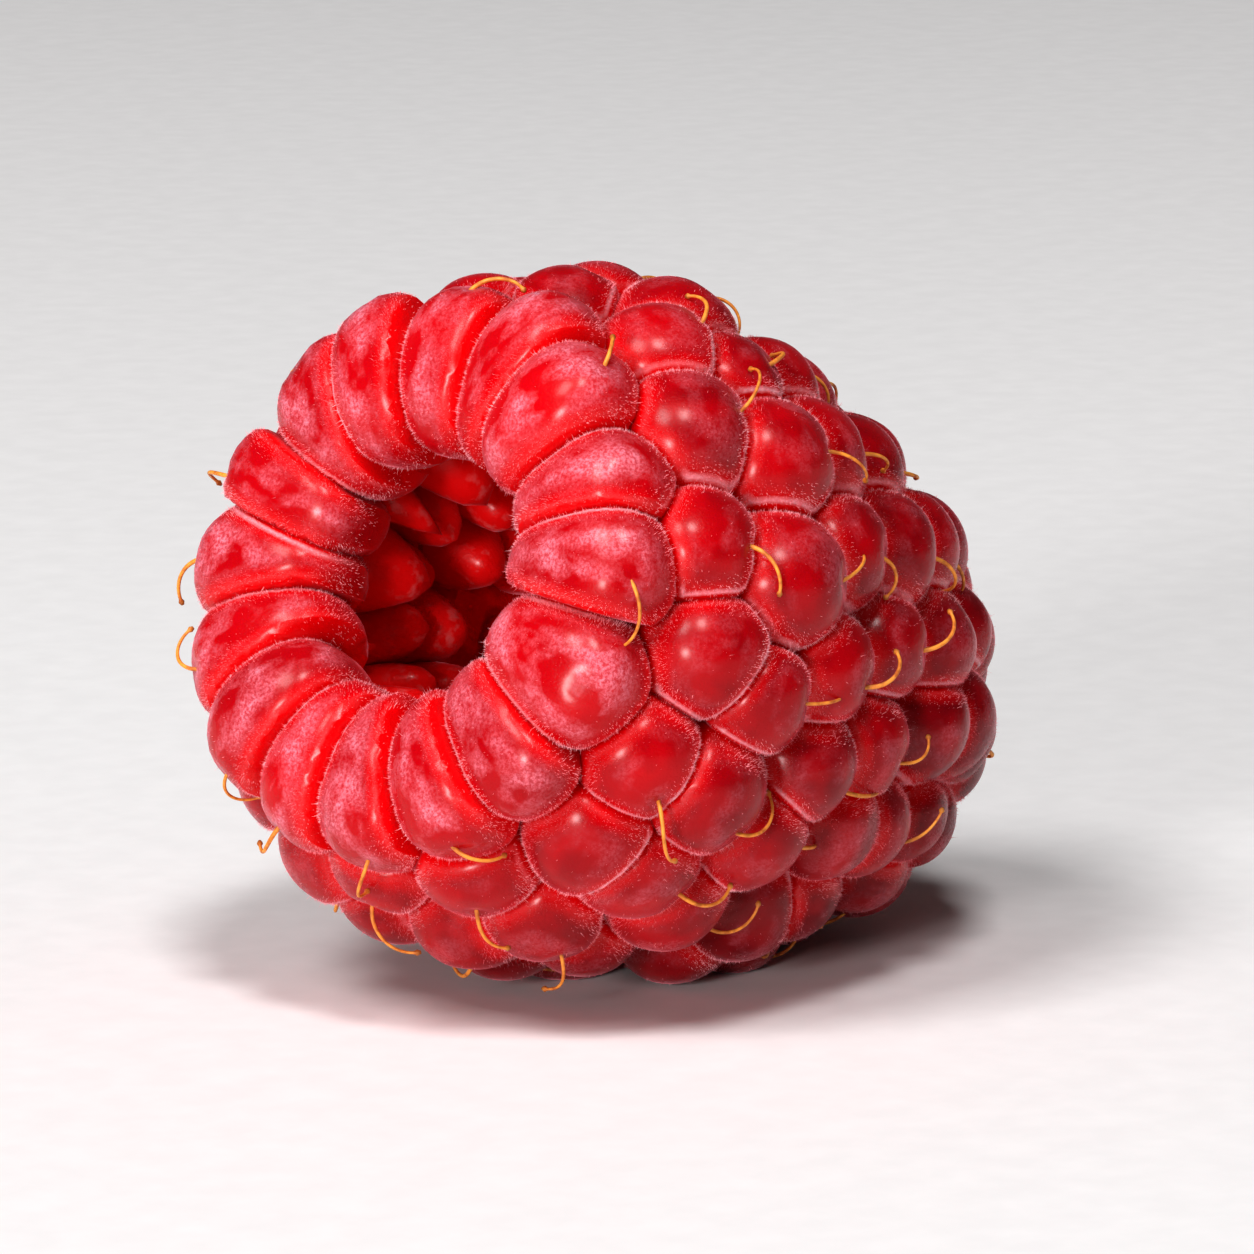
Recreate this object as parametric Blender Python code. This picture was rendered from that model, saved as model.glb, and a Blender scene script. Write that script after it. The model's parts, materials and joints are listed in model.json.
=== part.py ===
"""A ripe raspberry, picked off its core and lying on its side.

The fruit is one body: rings of drupelets, each a swollen bead pressed flat against its neighbours,
round the hollow that the core left. The mouth of the hollow faces -X and a little up, the tip
points to +X and down, and the berry rests on z = 0.
"""

import math
from typing import NamedTuple

import bmesh
import bpy
import numpy as np
from mathutils import Matrix

# Every length is in millimetres until make_object turns it to metres.
MM = 0.001

# The outside, along the fruit's own axis, from the mouth (0) to the tip
LENGTH = 23.2
RADIUS = 10.6
WIDEST_AT = 6.8
TIP_FULLNESS = (1.5, 2.7)  # exponents of the superellipse behind the widest place
TILT = math.radians(22)  # how far the tip dips where the tapered fruit comes to rest
ROLL = math.radians(97)  # about its own axis, to the side that it rests on

# The rim of drupelets that turns inward round the mouth
RIM_COUNT = 16
RIM_RADIUS = 8.55  # outside of the rim
RIM_FRONT = 1.5  # from the rim drupelets' centres to the front of the fruit
RIM_HALF_WIDTH = 2.45  # half of the rim from its outside in to the mouth's edge
RIM_HALF_ROUND = 1.72  # half of one drupelet, round the rim
RIM_PHASE = 0.73  # the first rim drupelet's place, in drupelets from +Y
RIM_BACK = 3.0  # how deep a rim drupelet goes behind its centre
RIM_INSET = 0.25  # how far outside the middle of the rim's width the centres sit

# How the rim drupelets differ, drawn evenly either way or from a range
RIM_ANGLE_SHIFT = 0.1  # in drupelets
RIM_RADIUS_SHIFT = 0.2
RIM_FRONT_SHIFT = 0.3
RIM_ROUND_SHARE = (0.95, 1.05)
RIM_INWARD_EXTRA = (-0.1, 0.2)
RIM_OUTWARD_EXTRA = (-0.05, 0.35)
RIM_BULGE_EXTRA = (-0.1, 0.3)
RIM_VIGOUR = (-0.03, 0.15)

# The drupelets of the side, in staggered rows from the rim to the tip
FIRST_ROW_AT = 2.05  # along the outside, from the rim
FIRST_ROW_TURN = 0.3  # in drupelets
LAST_ROW_CLEAR = 0.5  # no row is nearer the end of the outside than this
NEAR_RIM_WIDTH = 4.0
NEAR_TIP_WIDTH = 2.85
ROW_STEP = 0.85  # of a drupelet's width
HALF_WIDTH = 0.56  # of a drupelet's width, so that neighbours press together
BULGE = 0.99  # of its half width, from its centre outward
BACK = 3.9
TIP_BACK = 3.2  # near the tip, where the drupelets meet round the end of the hollow
TIP_STARTS_AT = 15.0

# How the side drupelets differ. Their size is drawn from -1 to 1.
ROUND_SHIFT = 0.17  # of a drupelet's width, either way
ALONG_SHIFT = 0.19
RUNTS = 0.07  # the share of drupelets that stayed small
RUNT_SIZE = -2.0
WIDTH_BY_SIZE = 0.11  # of the half width
BULGE_BY_SIZE = 0.06  # of the half width
RISE_BY_SIZE = 0.16  # how much prouder a large one stands
VIGOUR_BY_SIZE = 0.23
NEAR_AXIS = 1.5  # the smallest radius that a shift round the fruit is worked out at
SEED = 11

# How a drupelet swells against its neighbours
NEIGHBOURS = 15
ROUNDNESS = 2.15  # exponent of its superellipsoid
PRESS = 8.0  # a higher value gives flatter contact faces with tighter edges
SWELL = 1.03  # past the contact faces, so that neighbours fuse
FACING = 0.05  # a contact face nearer to edge-on than this doesn't hold the skin back

# The fused middle of the wall, which every drupelet grows from
CORE_DEPTHS = (1.9, 3.7)  # below the outside
CORE_FRONT = 1.4
CORE_AXIS_GAP = 0.3  # the cup's outline stops this near the axis, and closes with one point on it

# Mesh fineness
OUTLINE_POINTS = (1200, 2800)  # before and behind the widest place
OUTLINE_MARGIN = 0.05  # the last place along the outside that has a normal
NORMAL_SPAN = 0.4  # either way, the stretch of outside that a normal is taken over
SEGMENTS = 20
RINGS = 14
CORE_POINTS = 24
CORE_STEPS = 40
VOXEL = 0.3
TRIANGLES = 10000

# The dents where the fruit's weight rests, and the block that cuts them
DENT = 0.32
TABLE_DEPTH = 3.0
TABLE_SIDE = 60.0


class Drupelet(NamedTuple):
    """One bead: its centre, its own axes and how far it would reach along them if it grew alone."""

    centre: np.ndarray
    round_axis: np.ndarray
    along_axis: np.ndarray
    out_axis: np.ndarray
    half_round: float
    along_reach: tuple  # against and with along_axis
    out_reach: tuple  # inward and outward
    vigour: float  # millimetres by which it pushes its neighbours' contact faces


def radius_at(s):
    """The fruit's outer radius at a distance s along its axis."""
    behind = np.clip((s - WIDEST_AT) / (LENGTH - WIDEST_AT), 0, 1)
    before = np.clip((WIDEST_AT - s) / (WIDEST_AT - RIM_FRONT), 0, 1)
    tapered = RADIUS * (1 - behind ** TIP_FULLNESS[0]) ** (1 / TIP_FULLNESS[1])
    return np.where(s > WIDEST_AT, tapered, RADIUS - (RADIUS - RIM_RADIUS) * before**2)


def outline():
    """Points of the outside as (arc length, axial place, radius), closer together near the tip."""
    front = np.linspace(RIM_FRONT, WIDEST_AT, OUTLINE_POINTS[0], endpoint=False)
    quarter = np.linspace(0, math.pi / 2, OUTLINE_POINTS[1])
    back = WIDEST_AT + (LENGTH - WIDEST_AT) * np.sin(quarter)
    s = np.concatenate([front, back])
    r = radius_at(s)
    arc = np.concatenate([[0], np.cumsum(np.hypot(np.diff(s), np.diff(r)))])
    return arc, s, r


def on_outline(line, at):
    """(axial place, radius, axial and radial parts of the outward normal) at an arc length."""
    arc, s, r = line
    at = min(at, arc[-1] - OUTLINE_MARGIN)
    before, after = at - NORMAL_SPAN, at + NORMAL_SPAN
    run = np.interp(after, arc, s) - np.interp(before, arc, s)
    rise = np.interp(after, arc, r) - np.interp(before, arc, r) - max(0, after - arc[-1])
    size = math.hypot(run, rise)
    return np.interp(at, arc, s), np.interp(at, arc, r), -rise / size, run / size


def polar(s, r, angle):
    """A place in the fruit's own space: its axis is X, and the angle turns about it."""
    return np.array([s, r * math.cos(angle), r * math.sin(angle)])


def rim_drupelets(draw):
    mouth_radius = RIM_RADIUS - 2 * RIM_HALF_WIDTH
    for k in range(RIM_COUNT):
        turn = k + RIM_PHASE + draw.uniform(-RIM_ANGLE_SHIFT, RIM_ANGLE_SHIFT)
        angle = 2 * math.pi * turn / RIM_COUNT
        r = RIM_RADIUS - RIM_HALF_WIDTH + RIM_INSET + draw.uniform(-RIM_RADIUS_SHIFT, RIM_RADIUS_SHIFT)
        s = RIM_FRONT + draw.uniform(-RIM_FRONT_SHIFT, RIM_FRONT_SHIFT)
        inward = r - mouth_radius + draw.uniform(*RIM_INWARD_EXTRA)
        outward = RIM_RADIUS - r + draw.uniform(*RIM_OUTWARD_EXTRA)
        yield Drupelet(
            centre=polar(s, r, angle),
            round_axis=polar(0, 1, angle + math.pi / 2),
            along_axis=polar(0, 1, angle),
            out_axis=np.array([-1.0, 0.0, 0.0]),
            half_round=RIM_HALF_ROUND * draw.uniform(*RIM_ROUND_SHARE),
            along_reach=(inward, outward),
            out_reach=(RIM_BACK, RIM_FRONT + draw.uniform(*RIM_BULGE_EXTRA)),
            vigour=draw.uniform(*RIM_VIGOUR),
        )


def side_drupelets(draw):
    line = outline()
    total = line[0][-1]
    at, phase, last_count = FIRST_ROW_AT, FIRST_ROW_TURN, RIM_COUNT
    while at < total - LAST_ROW_CLEAR:
        width = NEAR_RIM_WIDTH + (NEAR_TIP_WIDTH - NEAR_RIM_WIDTH) * at / total
        count = max(3, round(2 * math.pi * float(on_outline(line, at)[1]) / width))
        phase = (phase * count / last_count + 0.5) % 1.0
        for k in range(count):
            round_shift, along_shift, size = draw.uniform(-1, 1, 3)
            if draw.uniform() < RUNTS:
                size = RUNT_SIZE
            s, r, out_s, out_r = on_outline(line, at + ALONG_SHIFT * width * along_shift)
            shift = ROUND_SHIFT * width * round_shift / max(r, NEAR_AXIS)
            angle = ROLL + 2 * math.pi * (k + phase) / count + shift
            half = HALF_WIDTH * width * (1 + WIDTH_BY_SIZE * size)
            front = half * (BULGE + BULGE_BY_SIZE * size)
            sunk = front - RISE_BY_SIZE * size
            round_axis = polar(0, 1, angle + math.pi / 2)
            out_axis = polar(out_s, out_r, angle)
            yield Drupelet(
                centre=polar(s - sunk * out_s, r - sunk * out_r, angle),
                round_axis=round_axis,
                along_axis=np.cross(out_axis, round_axis),
                out_axis=out_axis,
                half_round=half,
                along_reach=(half, half),
                out_reach=(BACK if at < TIP_STARTS_AT else TIP_BACK, front),
                vigour=VIGOUR_BY_SIZE * size,
            )
        last_count = count
        at += ROW_STEP * width


def contact_faces(index, centres, vigour):
    """The planes between a drupelet and its nearest neighbours, as unit normals and distances."""
    away = centres - centres[index]
    distance = np.linalg.norm(away, axis=1)
    near = np.argsort(distance)[1 : NEIGHBOURS + 1]
    normals = away[near] / distance[near, None]
    return normals, distance[near] / 2 + vigour[index] - vigour[near]


def swollen(drupelet, directions, normals, distances):
    """Points of a drupelet's skin along unit directions given in its own axes."""
    turned, along, out = directions.T
    along_reach = np.where(along > 0, drupelet.along_reach[1], drupelet.along_reach[0])
    out_reach = np.where(out > 0, drupelet.out_reach[1], drupelet.out_reach[0])
    shares = np.abs([turned / drupelet.half_round, along / along_reach, out / out_reach])
    alone = (shares**ROUNDNESS).sum(axis=0) ** (-1 / ROUNDNESS)
    axes = np.array([drupelet.round_axis, drupelet.along_axis, drupelet.out_axis])
    world = directions @ axes
    facing = world @ normals.T
    pressed = np.maximum(facing, FACING) / distances
    closeness = alone**-PRESS + np.where(facing > FACING, pressed**PRESS, 0).sum(axis=1)
    return drupelet.centre + world * (SWELL * closeness ** (-1 / PRESS))[:, None]


def drupelet_mesh(drupelet, normals, distances):
    """A sphere whose points are moved out to the drupelet's skin."""
    mesh = bmesh.new()
    bmesh.ops.create_uvsphere(mesh, u_segments=SEGMENTS, v_segments=RINGS, radius=1)
    directions = np.array([vertex.co.normalized() for vertex in mesh.verts])
    for vertex, point in zip(mesh.verts, swollen(drupelet, directions, normals, distances)):
        vertex.co = point
    bmesh.ops.recalc_face_normals(mesh, faces=mesh.faces)
    return mesh


def core_mesh():
    """The fused middle of the wall: a thin cup, turned from the outline moved inward twice."""
    line = outline()
    loop = []
    for depth, order in zip(CORE_DEPTHS, (1, -1)):
        side = []
        for at in np.linspace(0, line[0][-1], CORE_POINTS):
            s, r, out_s, out_r = on_outline(line, at)
            side.append((max(s - depth * out_s, CORE_FRONT), 0, max(r - depth * out_r, 0)))
        end_s = LENGTH - depth
        side = [point for point in side if point[2] > CORE_AXIS_GAP and point[0] < end_s]
        side.append((end_s, 0, 0))
        loop += side[::order]
    mesh = bmesh.new()
    points = [mesh.verts.new(point) for point in loop]
    edges = [mesh.edges.new(pair) for pair in zip(points, points[1:])]
    edges.append(mesh.edges.new((points[-1], points[0])))
    bmesh.ops.spin(mesh, geom=points + edges, cent=(0, 0, 0), axis=(1, 0, 0), dvec=(0, 0, 0),
                   angle=2 * math.pi, steps=CORE_STEPS, use_merge=True, use_duplicate=False)
    bmesh.ops.remove_doubles(mesh, verts=mesh.verts, dist=1e-4)
    loose = [edge for edge in mesh.edges if not edge.link_faces]
    bmesh.ops.delete(mesh, geom=loose, context="EDGES")
    bmesh.ops.recalc_face_normals(mesh, faces=mesh.faces)
    return mesh


def make_object(name, meshes, matrix):
    """One object from several closed meshes, in metres."""
    joined = bmesh.new()
    for mesh in meshes:
        piece = bpy.data.meshes.new("piece")
        mesh.to_mesh(piece)
        mesh.free()
        joined.from_mesh(piece)
        bpy.data.meshes.remove(piece)
    data = bpy.data.meshes.new(name)
    joined.to_mesh(data)
    joined.free()
    data.transform(Matrix.Scale(MM, 4) @ matrix)
    thing = bpy.data.objects.new(name, data)
    bpy.context.scene.collection.objects.link(thing)
    return thing


def fuse(berry):
    """Makes one closed skin of the overlapping drupelets and their core, and thins its mesh."""
    remesh = berry.modifiers.new("Fuse", "REMESH")
    remesh.mode = "VOXEL"
    remesh.voxel_size = VOXEL * MM
    skin = evaluated_mesh(berry)
    decimate = berry.modifiers.new("Thin", "DECIMATE")
    decimate.use_collapse_triangulate = True
    decimate.ratio = TRIANGLES / (2 * len(skin.polygons))
    bpy.data.meshes.remove(skin)
    settle(berry)


def evaluated_mesh(thing):
    graph = bpy.context.evaluated_depsgraph_get()
    return bpy.data.meshes.new_from_object(thing.evaluated_get(graph))


def settle(thing):
    """Applies the object's modifiers."""
    old = thing.data
    thing.data = evaluated_mesh(thing)
    thing.modifiers.clear()
    bpy.data.meshes.remove(old)
    thing.data.name = thing.name


def bounds(thing):
    points = np.array([vertex.co for vertex in thing.data.vertices])
    return points.min(axis=0), points.max(axis=0)


def lay_down(berry):
    """Sinks the lowest drupelets into the table by the dent, and centres the berry over the origin."""
    low, high = bounds(berry)
    middle = (low + high) / 2
    berry.data.transform(Matrix.Translation((-middle[0], -middle[1], -low[2] - DENT * MM)))


def press_flat(berry):
    """Cuts the berry off at the table, which leaves a flat on each drupelet that it rests on."""
    block = bmesh.new()
    bmesh.ops.create_cube(block, size=1)
    size = Matrix.Diagonal((TABLE_SIDE, TABLE_SIDE, TABLE_DEPTH, 1))
    table = make_object("table_cutter", [block], Matrix.Translation((0, 0, -TABLE_DEPTH / 2)) @ size)
    table.hide_render = True
    table.display_type = "WIRE"
    cut = berry.modifiers.new("Press flat", "BOOLEAN")
    cut.operation = "DIFFERENCE"
    cut.object = table


def skin_material():
    """Ripe, satiny skin over red juice."""
    material = bpy.data.materials.new("raspberry_skin")
    material.use_nodes = True
    shader = material.node_tree.nodes["Principled BSDF"]
    shader.inputs["Base Color"].default_value = (0.52, 0.02, 0.03, 1)
    shader.inputs["Roughness"].default_value = 0.35
    shader.inputs["Metallic"].default_value = 0.0
    material.diffuse_color = (0.52, 0.02, 0.03, 1)
    return material


def clear_scene():
    for thing in list(bpy.data.objects):
        bpy.data.objects.remove(thing)


def main():
    clear_scene()
    draw = np.random.RandomState(SEED)
    drupelets = [*rim_drupelets(draw), *side_drupelets(draw)]
    centres = np.array([drupelet.centre for drupelet in drupelets])
    vigour = np.array([drupelet.vigour for drupelet in drupelets])
    meshes = [core_mesh()]
    for index, drupelet in enumerate(drupelets):
        meshes.append(drupelet_mesh(drupelet, *contact_faces(index, centres, vigour)))
    berry = make_object("raspberry", meshes, Matrix.Rotation(TILT, 4, "Y"))
    fuse(berry)
    lay_down(berry)
    press_flat(berry)
    berry.data.materials.append(skin_material())
    berry.data.shade_smooth()


main()
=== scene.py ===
import json
import math
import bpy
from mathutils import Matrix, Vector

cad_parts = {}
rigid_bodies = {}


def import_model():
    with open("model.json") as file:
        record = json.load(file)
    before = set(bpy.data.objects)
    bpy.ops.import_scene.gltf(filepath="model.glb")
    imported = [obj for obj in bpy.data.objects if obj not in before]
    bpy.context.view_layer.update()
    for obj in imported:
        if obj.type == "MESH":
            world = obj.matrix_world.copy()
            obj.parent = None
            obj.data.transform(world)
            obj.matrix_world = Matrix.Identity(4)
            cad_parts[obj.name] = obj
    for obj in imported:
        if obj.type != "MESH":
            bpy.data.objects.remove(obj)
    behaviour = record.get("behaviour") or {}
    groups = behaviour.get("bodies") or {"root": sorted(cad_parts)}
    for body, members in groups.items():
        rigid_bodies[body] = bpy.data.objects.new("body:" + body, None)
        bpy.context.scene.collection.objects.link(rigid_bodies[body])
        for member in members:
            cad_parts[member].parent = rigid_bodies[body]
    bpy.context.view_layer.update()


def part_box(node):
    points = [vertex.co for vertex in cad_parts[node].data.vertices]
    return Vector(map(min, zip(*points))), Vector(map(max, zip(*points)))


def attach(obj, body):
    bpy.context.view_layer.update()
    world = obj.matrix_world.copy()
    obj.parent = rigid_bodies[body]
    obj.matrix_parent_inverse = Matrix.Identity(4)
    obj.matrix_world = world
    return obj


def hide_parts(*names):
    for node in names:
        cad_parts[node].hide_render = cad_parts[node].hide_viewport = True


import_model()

from types import SimpleNamespace

import bmesh
import bpy
import numpy as np
from mathutils import Matrix, Vector

# A ripe raspberry lying on its side, with its dried styles and its down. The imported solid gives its
# place and size; the skin here is the same layout of drupelets, drawn finely, and stands in for it.
# Shapes are worked out in millimetres, with the fruit's axis along X, and then laid in the frame.

nodeLow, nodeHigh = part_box("raspberry")
mm = 0.001


fruit = {
    "length": 23.2,                # from the mouth to the tip
    "radius": 10.6,                # at its widest
    "widestAt": 6.8,               # from the mouth
    "tipFullness": (1.5, 2.7),     # powers of the curve from there to the tip, higher is fuller
    "tilt": math.radians(22),      # of the axis, tip down
    "roll": math.radians(97),      # of the side rows round it
    "seed": 11,
    "dent": 0.32,                  # how far the berry's weight presses in its lowest drupelets
    "dentRound": 0.05,             # softness of the edge of each pressed flat
}

rim = {
    "count": 16,
    "radius": 8.55,                # outside of the wall here
    "front": 1.5,                  # from the mouth back to the middles of the drupelets
    "halfWidth": 2.45,             # of the wall
    "halfRound": 1.72,             # of a drupelet, round the ring
    "phase": 0.73,                 # of a step, where the first stands
    "back": 3.0,                   # how far each goes back into the wall
    "outset": 0.25,                # centre past the middle of the wall
    "strayRound": 0.1,             # of a step, out of its even place
    "strayOut": 0.2,
    "strayFront": 0.3,
    "spread": 0.05,                # of its size round the ring
    "moreInward": (-0.1, 0.2),     # past the wall's inside, its outside and the mouth
    "moreOutward": (-0.05, 0.35),
    "moreFront": (-0.1, 0.3),
    "vigour": (-0.03, 0.15),       # room that it takes from its neighbours
}

side = {
    "firstRowAt": 2.05,            # along the outline from the rim
    "phase": 0.3,                  # of a step, where the first row starts
    "nearRimWidth": 4.0,           # from one drupelet's middle to the next one's in its row
    "nearTipWidth": 2.85,
    "rowStep": 0.85,               # of that, from a row to the next
    "halfWidth": 0.56,             # of that too, so that drupelets press on each other
    "back": 3.9,                   # how far each goes in
    "tipBack": 3.2,                # and from tipStartsAt on
    "tipStartsAt": 15.0,
    "runts": 0.07,                 # share that stayed small
    "runtSize": -2.0,              # against -1 to 1 for the others
    "strayRound": 0.17,            # of the way to the next one, out of its even place
    "strayAlong": 0.19,
    "sizeSpread": 0.11,
    "bulge": 1.04,                 # of its half width
    "stepOut": 0.16,               # a big one stands out past a small one
    "vigour": 0.23,                # and takes room from it
}


def radiusAt(s):
    behind = np.clip((s - fruit["widestAt"]) / (fruit["length"] - fruit["widestAt"]), 0, 1)
    before = np.clip((fruit["widestAt"] - s) / (fruit["widestAt"] - rim["front"]), 0, 1)
    bulge, close = fruit["tipFullness"]
    tapered = fruit["radius"] * (1 - behind**bulge) ** (1 / close)
    towardsRim = fruit["radius"] - (fruit["radius"] - rim["radius"]) * before**2
    return np.where(s > fruit["widestAt"], tapered, towardsRim)


def outline():
    front = np.linspace(rim["front"], fruit["widestAt"], 1200, endpoint=False)
    quarter = np.linspace(0, math.pi / 2, 2800)
    back = fruit["widestAt"] + (fruit["length"] - fruit["widestAt"]) * np.sin(quarter)
    s = np.concatenate([front, back])
    r = radiusAt(s)
    arc = np.concatenate([[0], np.cumsum(np.hypot(np.diff(s), np.diff(r)))])
    return arc, s, r


def onOutline(line, at):
    arc, s, r = line
    at = min(at, arc[-1] - 0.05)
    before, after = at - 0.4, at + 0.4
    run = np.interp(after, arc, s) - np.interp(before, arc, s)
    rise = np.interp(after, arc, r) - np.interp(before, arc, r) - max(0, after - arc[-1])
    size = math.hypot(run, rise)
    return np.interp(at, arc, s), np.interp(at, arc, r), -rise / size, run / size


def polar(s, r, angle):
    return np.array([s, r * math.cos(angle), r * math.sin(angle)])


def rimDrupelets(draw):
    mouthRadius = rim["radius"] - 2 * rim["halfWidth"]
    for k in range(rim["count"]):
        turn = k + rim["phase"] + draw.uniform(-rim["strayRound"], rim["strayRound"])
        angle = 2 * math.pi * turn / rim["count"]
        middle = rim["radius"] - rim["halfWidth"] + rim["outset"]
        r = middle + draw.uniform(-rim["strayOut"], rim["strayOut"])
        s = rim["front"] + draw.uniform(-rim["strayFront"], rim["strayFront"])
        inward = r - mouthRadius + draw.uniform(*rim["moreInward"])
        outward = rim["radius"] - r + draw.uniform(*rim["moreOutward"])
        yield SimpleNamespace(
            isRim=True,
            centre=polar(s, r, angle),
            roundAxis=polar(0, 1, angle + math.pi / 2),
            alongAxis=polar(0, 1, angle),
            outAxis=np.array([-1.0, 0.0, 0.0]),
            halfRound=rim["halfRound"] * draw.uniform(1 - rim["spread"], 1 + rim["spread"]),
            alongReach=(inward, outward),
            outReach=(rim["back"], rim["front"] + draw.uniform(*rim["moreFront"])),
            vigour=draw.uniform(*rim["vigour"]),
        )


def sideDrupelets(draw):
    line = outline()
    total = line[0][-1]
    at, phase, lastCount = side["firstRowAt"], side["phase"], rim["count"]
    while at < total - 0.5:
        width = side["nearRimWidth"] + (side["nearTipWidth"] - side["nearRimWidth"]) * at / total
        count = max(3, round(2 * math.pi * float(onOutline(line, at)[1]) / width))
        phase = (phase * count / lastCount + 0.5) % 1.0
        for k in range(count):
            roundShift, alongShift, size = draw.uniform(-1, 1, 3)
            if draw.uniform() < side["runts"]:
                size = side["runtSize"]
            s, r, outS, outR = onOutline(line, at + side["strayAlong"] * width * alongShift)
            turn = side["strayRound"] * width * roundShift / max(r, 1.5)
            angle = fruit["roll"] + 2 * math.pi * (k + phase) / count + turn
            half = side["halfWidth"] * width * (1 + side["sizeSpread"] * size)
            bulge = half * (side["bulge"] + 0.06 * size)
            sunk = bulge - side["stepOut"] * size
            roundAxis = polar(0, 1, angle + math.pi / 2)
            outAxis = polar(outS, outR, angle)
            yield SimpleNamespace(
                isRim=False,
                centre=polar(s - sunk * outS, r - sunk * outR, angle),
                roundAxis=roundAxis,
                alongAxis=np.cross(outAxis, roundAxis),
                outAxis=outAxis,
                halfRound=half,
                alongReach=(half, half),
                outReach=(side["back"] if at < side["tipStartsAt"] else side["tipBack"], bulge),
                vigour=side["vigour"] * size,
            )
        lastCount = count
        at += side["rowStep"] * width


skin = {
    "neighbours": 15,               # that can press on a drupelet
    "roundness": 2.05,              # of a side drupelet's superellipsoid
    "rimRoundness": 2.2,
    "press": 16.0,                  # higher gives flatter contact faces and tighter creases
    "contactSlack": 1.02,           # contact faces are let this far past the middle
    "leastFacing": 0.05,            # a contact face seen flatter than this doesn't press
    "swell": 1.015,                 # makes up for what the soft pressing takes off
    "lap": 0.22,                    # share of its contact distance by which one laps the next
    "lapFrom": math.radians(199),   # round the rim, the one that laps both its neighbours
    "overWay": (0.85, 0.3, -0.45),  # a side drupelet lies over the neighbours on this side of it
    "rimWidth": 1.12,               # of halfRound, where the rim drupelets' centres are
    "rimWedge": 0.10,               # its widening away from the mouth, 1 being as the ring does
    "plump": 0.95,                  # of halfRound, round a side drupelet
    "taper": 0.5,                   # how much narrower a side drupelet is at its inner end
    "farthest": 8.0,                # mm, past any drupelet's own shape
    "halvings": 22,                 # of that distance, to find the shape along a direction
    "sides": 36,                    # of each drupelet's mesh, round its outward axis
    "rings": 24,
    "lumpHeight": 0.05,             # gentle unevenness of a drupelet, mm
    "lumpWaves": (3.1, 5.2, 7.5),   # radians of each of its waves over a drupelet's radius
    "dimpleDepth": 0.14,            # where the style stands, mm
    "dimpleRadius": 0.40,
    "dimpleStray": 0.22,            # of a drupelet's radius
    "creaseAngle": math.radians(32),    # folds sharper than this are shaded as creases
    "tipTint": 0.85,                # deeper in colour towards the fruit's tip
    "paintedShadeBelow": 0.3,               # painted shade: deeper in colour underneath, where the berry is in its own shade
    "tintSpread": 0.18,             # from one drupelet to the next
}


def contactFaces(index, centres, vigour, lapOrder):
    # Planes between a drupelet and its nearest neighbours, as unit normals and distances, and how far
    # it lies over each neighbour, from 1 to -1 where it lies under.
    away = centres - centres[index]
    distance = np.linalg.norm(away, axis=1)
    near = np.argsort(distance)[1 : skin["neighbours"] + 1]
    ahead = np.sign(lapOrder[near] - lapOrder[index]) * (lapOrder[near] * lapOrder[index] > 0)
    reach = distance[near] / 2 * (1 + skin["lap"] * ahead) + vigour[index] - vigour[near]
    away = away[near] / distance[near, None]
    over = np.where(ahead != 0, ahead, np.clip(2 * away @ skin["overWay"], -1, 1))
    return away, reach, over


def localGrid():
    # Unit directions about an outward +Z, in rings that lie closer together near the outer end.
    turns = np.arange(skin["sides"]) * 2 * math.pi / skin["sides"]
    fromTop = math.pi * np.linspace(0, 1, skin["rings"] + 1)[1:-1] ** 1.25
    ring = np.stack([np.cos(turns), np.sin(turns)], axis=1)
    rows = [np.column_stack([ring * math.sin(a), np.full(len(turns), math.cos(a))]) for a in fromTop]
    directions = np.vstack([[0, 0, 1], *rows, [0, 0, -1]])
    last = len(directions) - 1
    faces = []
    for k in range(skin["sides"]):
        beside = (k + 1) % skin["sides"]
        faces.append((0, 1 + k, 1 + beside))
        for row in range(len(fromTop) - 1):
            top = 1 + row * skin["sides"]
            low = top + skin["sides"]
            faces.append((top + k, low + k, low + beside, top + beside))
        low = 1 + (len(fromTop) - 1) * skin["sides"]
        faces.append((low + k, last, low + beside))
    return directions, faces


def styleDirection(drupelet):
    # Where a drupelet's style grows: past the middle of its outer end, on the side away from the mouth.
    lean = drupelet.styleLean
    if drupelet.isRim:
        local = np.array([lean[0], 1.0, 0.38 + lean[1]])
    else:
        local = np.array([lean[0], 0.5 + lean[1], 0.86])
    return local / np.linalg.norm(local)


def crowding(drupelet, points):
    # Below 1 inside the shape that a drupelet would have alone, for points in its own axes.
    turned, along, out = points.T
    if drupelet.isRim:
        ringRadius = math.hypot(*drupelet.centre[1:])
        turned = turned / (1 + skin["rimWedge"] * np.clip(along / ringRadius, -0.7, 0.7))
        halfRound, roundness = drupelet.halfRound * skin["rimWidth"], skin["rimRoundness"]
    else:
        narrow = 1 - skin["taper"] * np.clip(-out / drupelet.outReach[0], 0, 1)
        turned, along = turned / narrow, along / narrow
        turned, along = turned / skin["plump"], along / skin["plump"]
        halfRound, roundness = drupelet.halfRound, skin["roundness"]
    alongReach = np.where(along > 0, drupelet.alongReach[1], drupelet.alongReach[0])
    outReach = np.where(out > 0, drupelet.outReach[1], drupelet.outReach[0])
    return (np.abs([turned / halfRound, along / alongReach, out / outReach]) ** roundness).sum(axis=0)


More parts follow.
